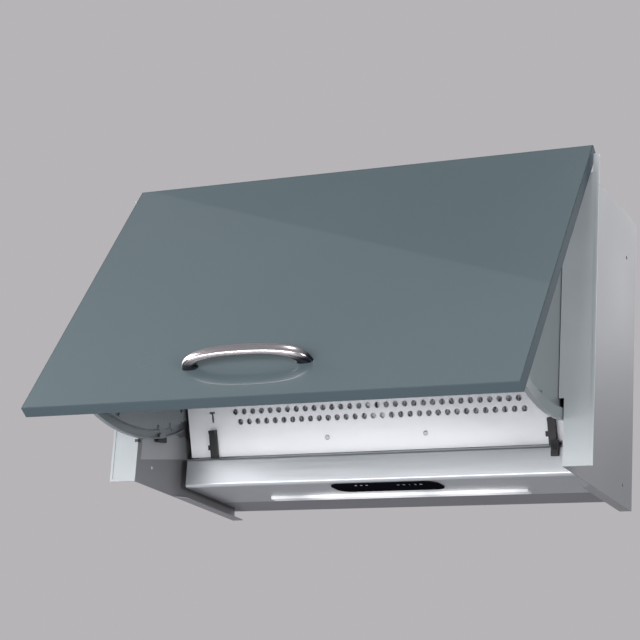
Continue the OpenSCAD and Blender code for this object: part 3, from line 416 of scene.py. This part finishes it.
# The CAD nodes that wear each material
WEARERS = {
    "side": ["left_side", "right_side"],
    "case": ["rear_panel", "top_panel"],
    "guide": ["left_guide_plate", "right_guide_plate"],
    "inner": ["left_cheek", "right_cheek"],
    "rear": ["bottom_pan", "motor_bracket", "left_hinge_bracket", "right_hinge_bracket"],
    "grille": ["front_grille", "front_rail"],
    "beam": ["front_beam", "filter_ledge"],
    "arm": ["left_arm", "right_arm"],
    "fixings": ["grille_screws", "case_screws", "door_screws", "handle_screws", "hinge_pins"],
    "filter_frame": ["left_filter_frame", "right_filter_frame"],
    "filter_mesh": ["left_filter_mesh", "right_filter_mesh"],
    "black": [
        "beam_caps", "guide_pads", "notch_clips", "hinge_bushes", "cable_gland", "left_latch",
        "right_latch", "front_flap", "rear_flap", "capacitor", "electronics_box", "outlet_collar",
    ],
    "gloss": ["control_bezel"] + BUTTONS,
    "tray": ["light_tray"],
    "pipe": ["indicator_pipes"],
    "lens": ["light_lens"],
    "board": ["control_board", "light_board"],
    "fan": ["fan_scroll", "fan_wheel"],
    "motor": ["motor", "fan_shaft"],
    "front": ["door_panel"],
    "edging": ["door_edging"],
    "handle": ["handle"],
}


def put_on(material, nodes):
    """Gives CAD nodes one material in all their slots."""
    for node in nodes:
        slots = NODES[node].data.materials
        if len(slots) == 0:
            slots.append(material)
        for index in range(len(slots)):
            slots[index] = material


for key, nodes in WEARERS.items():
    put_on(MATERIALS[key], nodes)


def placed(name, data):
    """A new object of the scene."""
    made = bpy.data.objects.new(name, data)
    bpy.context.scene.collection.objects.link(made)
    return made


def mesh_of(name, points, faces):
    """A new mesh. Each face lists the numbers of its points."""
    mesh = bpy.data.meshes.new(name)
    mesh.from_pydata(points, [], faces)
    return mesh


def piece(name, mesh, material, body, slot, *nodes):
    """A mesh that belongs to the object: it rides on a body and stands for CAD nodes, if any are named."""
    made = placed(name, mesh)
    made.data.materials.clear()
    made.data.materials.append(material)
    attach(made, body)
    if nodes:
        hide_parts(*nodes)
    return made


def weigh_normals(mesh, fold=50):
    """Corner normals in which a large flat face outweighs the narrow rounded ones beside it.

    Faces that meet at more than fold degrees keep a sharp edge.
    """
    limit = math.cos(math.radians(fold))
    touching = [[] for _ in mesh.vertices]
    for face in mesh.polygons:
        for vertex in face.vertices:
            touching[vertex].append(face.index)
    normals = [face.normal.copy() for face in mesh.polygons]
    areas = [face.area for face in mesh.polygons]
    corners = [None] * len(mesh.loops)
    for face in mesh.polygons:
        own = normals[face.index]
        for index in face.loop_indices:
            vertex = mesh.loops[index].vertex_index
            near = [other for other in touching[vertex] if normals[other].dot(own) > limit]
            corners[index] = sum((normals[other] * areas[other] for other in near), Vector()).normalized()
    mesh.normals_split_custom_set(corners)


def refined(node, width, fold=35):
    """Shows a copy of a CAD node with welded faces, smooth curves and edges rounded by a small width.

    Only edges of more than fold degrees are rounded.
    """
    weld_distance, flat_angle = 2e-6, math.radians(0.3)
    source = NODES[node]
    mesh = source.data.copy()
    mesh.name = node + "_fine"
    work = bmesh.new()
    work.from_mesh(mesh)
    bmesh.ops.remove_doubles(work, verts=work.verts, dist=weld_distance)
    bmesh.ops.dissolve_limit(work, angle_limit=flat_angle, verts=work.verts, edges=work.edges)
    if width > 0:
        sharp = [edge for edge in work.edges
                 if len(edge.link_faces) == 2 and edge.calc_face_angle(0) > math.radians(fold)]
        bmesh.ops.bevel(
            work, geom=sharp, offset=width, offset_type="OFFSET", segments=2, profile=0.5,
            affect="EDGES", clamp_overlap=True,
        )
    work.to_mesh(mesh)
    work.free()
    mesh.shade_smooth()
    weigh_normals(mesh)
    return piece(node + "_fine", mesh, source.data.materials[0], BODY_OF[node], SLOT_OF[node], node)


# Width of the rounded edges, in millimetres. 0 keeps the edges as they are.
EDGE_WIDTHS = {
    "door_panel": 0.2, "door_edging": 0.6, "left_latch": 0.5, "right_latch": 0.4,
    "control_bezel": 0.4, "light_lens": 0.9, "guide_pads": 0.5, "notch_clips": 0.4,
    "left_arm": 0, "right_arm": 0, "left_side": 0, "right_side": 0, "front_beam": 0,
    "front_grille": 0, "outlet_collar": 0.4, "cable_gland": 0.4, "fan_scroll": 0,
    "fan_wheel": 0, "motor": 0.6, "fan_shaft": 0.3, "front_flap": 0, "rear_flap": 0,
    "case_screws": 0.2, "grille_screws": 0.2, "door_screws": 0.2, "handle_screws": 0.3,
    "hinge_pins": 0.3, "hinge_bushes": 0, "capacitor": 0.8, "electronics_box": 0.8,
    "left_guide_plate": 0.2, "right_guide_plate": 0.2, "left_hinge_bracket": 0.4,
    "right_hinge_bracket": 0.4, "left_filter_frame": 0.6, "right_filter_frame": 0.6,
}
EDGE_WIDTHS.update({button: 0.3 for button in BUTTONS})

for node, width in EDGE_WIDTHS.items():
    refined(node, width * MM)


def bow_handle():
    """The bow handle as a fine sweep. Its arch is flat in the middle, and it ends in deep, narrow feet."""
    # Sizes in millimetres
    half_length, rise = 68.5, 21.5
    bow_depth, bow_width = 8.0, 14.0
    foot_depth, foot_width = 20.0, 9.0
    # Exponents of the arch, of the outline of a ring and of its change towards the feet
    flatness, steepness, squareness = 2.6, 2.32, 2.5
    deepening, narrowing = 1.3, 2
    rings, sides = 120, 48
    crease = math.radians(60)

    def arch(ring):
        """The middle of a ring: how far along the handle it is, and how far out from the front."""
        share = -math.cos(math.pi * ring / rings)
        lift = max(0.0, 1 - abs(share) ** flatness) ** (1 / steepness)
        return Vector((half_length * share, rise * lift))

    def squared(value):
        """A sine or cosine that makes a ring a rounded box and not a circle."""
        return math.copysign(abs(value) ** (2 / squareness), value)

    def direction(ring):
        """The way that the arch runs at a ring."""
        if ring == 0:
            return Vector((0, 1))
        if ring == rings:
            return Vector((0, -1))
        return (arch(ring + 1) - arch(ring - 1)).normalized()

    points, faces = [], []
    for ring in range(rings + 1):
        at, way = arch(ring), direction(ring)
        drop = 1 - at.y / rise
        width = bow_width + (foot_width - bow_width) * drop ** narrowing
        depth = bow_depth + (foot_depth - bow_depth) * drop ** deepening
        for side in range(sides):
            angle = 2 * math.pi * side / sides
            out = squared(math.sin(angle)) * depth / 2
            closed = Vector((
                HANDLE_X + at.x - way.y * out,
                FRONT_FACE - at.y - way.x * out,
                HANDLE_Z + squared(math.cos(angle)) * width / 2,
            ))
            points.append(opened(closed * MM))
    for ring in range(rings):
        for side in range(sides):
            here, beside = ring * sides + side, ring * sides + (side + 1) % sides
            faces.append((here, beside, beside + sides, here + sides))
    faces.append(tuple(range(sides)))
    faces.append(tuple(rings * sides + sides - 1 - side for side in range(sides)))
    mesh = mesh_of("bow_handle", points, faces)
    mesh.validate()
    work = bmesh.new()
    work.from_mesh(mesh)
    bmesh.ops.recalc_face_normals(work, faces=work.faces)
    work.to_mesh(mesh)
    work.free()
    mesh.shade_smooth()
    mesh.set_sharp_from_angle(angle=crease)
    return piece("bow_handle", mesh, MATERIALS["handle"], "front", "handle_nickel", "handle")


bow_handle()


def turns(count):
    """The angles of so many even steps round a circle."""
    return [2 * math.pi * step / count for step in range(count)]


def on_circle(radius, angle, x=0.0, y=0.0):
    """A place on a circle round x, y."""
    return (x + radius * math.cos(angle), y + radius * math.sin(angle))


def disc(radius, x=0.0, y=0.0, steps=20):
    """A round outline, in millimetres."""
    return [on_circle(radius, angle, x, y) for angle in turns(steps)]


def bar(width, depth, x=0.0, y=0.0):
    """An oblong outline, in millimetres."""
    return [(x + sx * width / 2, y + sy * depth / 2) for sx, sy in ((-1, -1), (1, -1), (1, 1), (-1, 1))]


def open_ring(radius, width, gap, steps=24):
    """A ring outline, in millimetres, with a gap of so many degrees at its front."""
    start, end = math.radians(-90 + gap / 2), math.radians(270 - gap / 2)
    angles = [start + (end - start) * step / steps for step in range(steps + 1)]
    outer = [on_circle(radius + width / 2, angle) for angle in angles]
    inner = [on_circle(radius - width / 2, angle) for angle in reversed(angles)]
    return outer + inner


def printed(name, outlines, at, body, slot):
    """Generic signs printed on a face that looks down: closed outlines around a place, in millimetres."""
    sunk, above_foot_shade = 0.02, 0.05
    points, faces = [], []
    for outline in outlines:
        count, start = len(outline), len(points)
        for level in (at[Z] + sunk, at[Z] - above_foot_shade):
            points.extend(Vector((at[X] + x, at[Y] + y, level)) * MM for x, y in outline)
        faces.append(tuple(start + step for step in range(count)))
        faces.append(tuple(start + 2 * count - 1 - step for step in range(count)))
        for step in range(count):
            after = (step + 1) % count
            faces.append((start + step, start + count + step, start + count + after, start + after))
    return piece(name, mesh_of(name, points, faces), MATERIALS["print"], body, slot)


def control_signs():
    """Plain signs of lamp, off and three speeds on the five buttons, in millimetres. The pale signs are print, and
    they also stand in as painted highlights of the buttons.
    """
    bulb_radius, ray_radius, ray_distance, rays = 0.9, 0.26, 1.7, 8
    speed_width, speed_depth, speed_step = 0.6, 3.6, 1.15
    from_front = 3.0
    lamp = [disc(bulb_radius)]
    lamp.extend(disc(ray_radius, *on_circle(ray_distance, angle)) for angle in turns(rays))
    off = [open_ring(radius=1.5, width=0.5, gap=70), bar(width=0.5, depth=1.6, y=-1.2)]
    signs = [lamp, off]
    for count in (1, 2, 3):
        places = [(number - (count - 1) / 2) * speed_step for number in range(count)]
        signs.append([bar(speed_width, speed_depth, x) for x in places])
    for number, (node, outlines) in enumerate(zip(BUTTONS, signs), start=1):
        low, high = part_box(node)
        centre = ((low[X] + high[X]) / 2 / MM, low[Y] / MM + from_front, low[Z] / MM)
        printed("sign_%d" % number, outlines, centre, BODY_OF[node], SLOT_OF[node])


control_signs()


def build_camera():
    """The camera of the photograph, turned by yaw, pitch and roll."""
    forward = Vector((
        -math.sin(CAMERA_YAW) * math.cos(CAMERA_PITCH),
        math.cos(CAMERA_YAW) * math.cos(CAMERA_PITCH),
        math.sin(CAMERA_PITCH),
    ))
    level = Vector((math.cos(CAMERA_YAW), math.sin(CAMERA_YAW), 0))
    upright = level.cross(forward)
    right = level * math.cos(CAMERA_ROLL) + upright * math.sin(CAMERA_ROLL)
    up = upright * math.cos(CAMERA_ROLL) - level * math.sin(CAMERA_ROLL)
    data = bpy.data.cameras.new("camera")
    data.sensor_width = SENSOR_MM
    data.lens = FOCAL_PX * SENSOR_MM / IMAGE_PX
    camera = placed("camera", data)
    turn = Matrix((right, up, -forward)).transposed()
    camera.matrix_world = Matrix.Translation(CAMERA_AT) @ turn.to_4x4()
    bpy.context.scene.camera = camera


def build_world():
    """An even pale surround: one grey to the camera, another level as light."""
    world = bpy.data.worlds.new("studio")
    bpy.context.scene.world = world
    world.use_nodes = True
    tree = world.node_tree
    tree.nodes.clear()
    output = tree.nodes.new("ShaderNodeOutputWorld")
    choice = tree.nodes.new("ShaderNodeMixShader")
    ray = tree.nodes.new("ShaderNodeLightPath")
    tree.links.new(ray.outputs["Is Camera Ray"], choice.inputs["Fac"])
    surrounds = ((SKY_COLOUR, SKY_STRENGTH), (BACKGROUND, 1.0))
    for index, (colour, strength) in enumerate(surrounds, start=1):
        glow = tree.nodes.new("ShaderNodeBackground")
        glow.inputs["Color"].default_value = colour
        glow.inputs["Strength"].default_value = strength
        tree.links.new(glow.outputs["Background"], choice.inputs[index])
    tree.links.new(choice.outputs["Shader"], output.inputs["Surface"])


def build_floor():
    """A wide floor, which belongs to the room and not to the object."""
    half = FLOOR_SIZE / 2
    corners = [(-half, -half, 0), (half, -half, 0), (half, half, 0), (-half, half, 0)]
    sheet = placed("floor", mesh_of("floor", corners, [(0, 1, 2, 3)]))
    sheet.location = (0, 0, FLOOR_Z)
    sheet.data.materials.append(floor_material())


def dark_flag():
    """A dark sheet that only mirror rays see. The open front mirrors it as the photo's darker triangle."""
    # The triangle's height on the front, in millimetres, and the sheet's distance from the mirrored camera,
    # where 1 would be on the front itself
    drop, reach = 246.0, 1.6
    triangle = [
        (-FRONT_HALF_WIDTH, FRONT_FACE, FRONT_TOP),
        (FRONT_HALF_WIDTH, FRONT_FACE, FRONT_TOP),
        (FRONT_HALF_WIDTH, FRONT_FACE, FRONT_TOP - drop),
    ]
    mirrored_camera = CAMERA_AT - 2 * (CAMERA_AT - HANDLE_FACE).dot(FRONT_WAY) * FRONT_WAY
    points = []
    for corner in triangle:
        points.append(mirrored_camera + (opened(Vector(corner) * MM) - mirrored_camera) * reach)
    sheet = placed("dark_flag", mesh_of("dark_flag", points, [(0, 1, 2)]))
    sheet.visible_camera = False
    sheet.visible_diffuse = False
    sheet.visible_transmission = False
    sheet.visible_shadow = False
    sheet.data.materials.append(painted_steel("flag_cloth", srgb(30, 32, 34), rough=0.9))


def area_light(name, at, target, size, power):
    """An oblong lamp of so many watts that looks at a target, in metres."""
    data = bpy.data.lights.new(name, "AREA")
    data.shape = "RECTANGLE"
    data.size, data.size_y = size
    data.energy = power
    lamp = placed(name, data)
    lamp.location = at
    lamp.rotation_euler = (Vector(target) - Vector(at)).to_track_quat("-Z", "Y").to_euler()


build_camera()
build_world()
build_floor()
dark_flag()
area_light("low", at=(-0.4, -2.0, -0.42), target=LAMP_TARGET, size=(1.8, 0.7), power=36)
area_light("left", at=(-1.7, -1.5, -0.35), target=LAMP_TARGET, size=(1.0, 0.8), power=13)
area_light("right", at=(1.9, -1.5, -0.3), target=LAMP_TARGET, size=(0.8, 0.8), power=36)
area_light("side", at=(-2.0, -0.2, 0.62), target=(0, 0, -0.2), size=(1.2, 1.2), power=42)
area_light("glint", at=(0.1, -0.7, 1.9), target=(0, -0.2, -0.3), size=(0.35, 0.35), power=5)
area_light("back", at=(0.6, 2.0, 0.9), target=(0, 0.1, -0.1), size=(1.4, 1.2), power=14)

bpy.context.scene.view_settings.view_transform = "Standard"
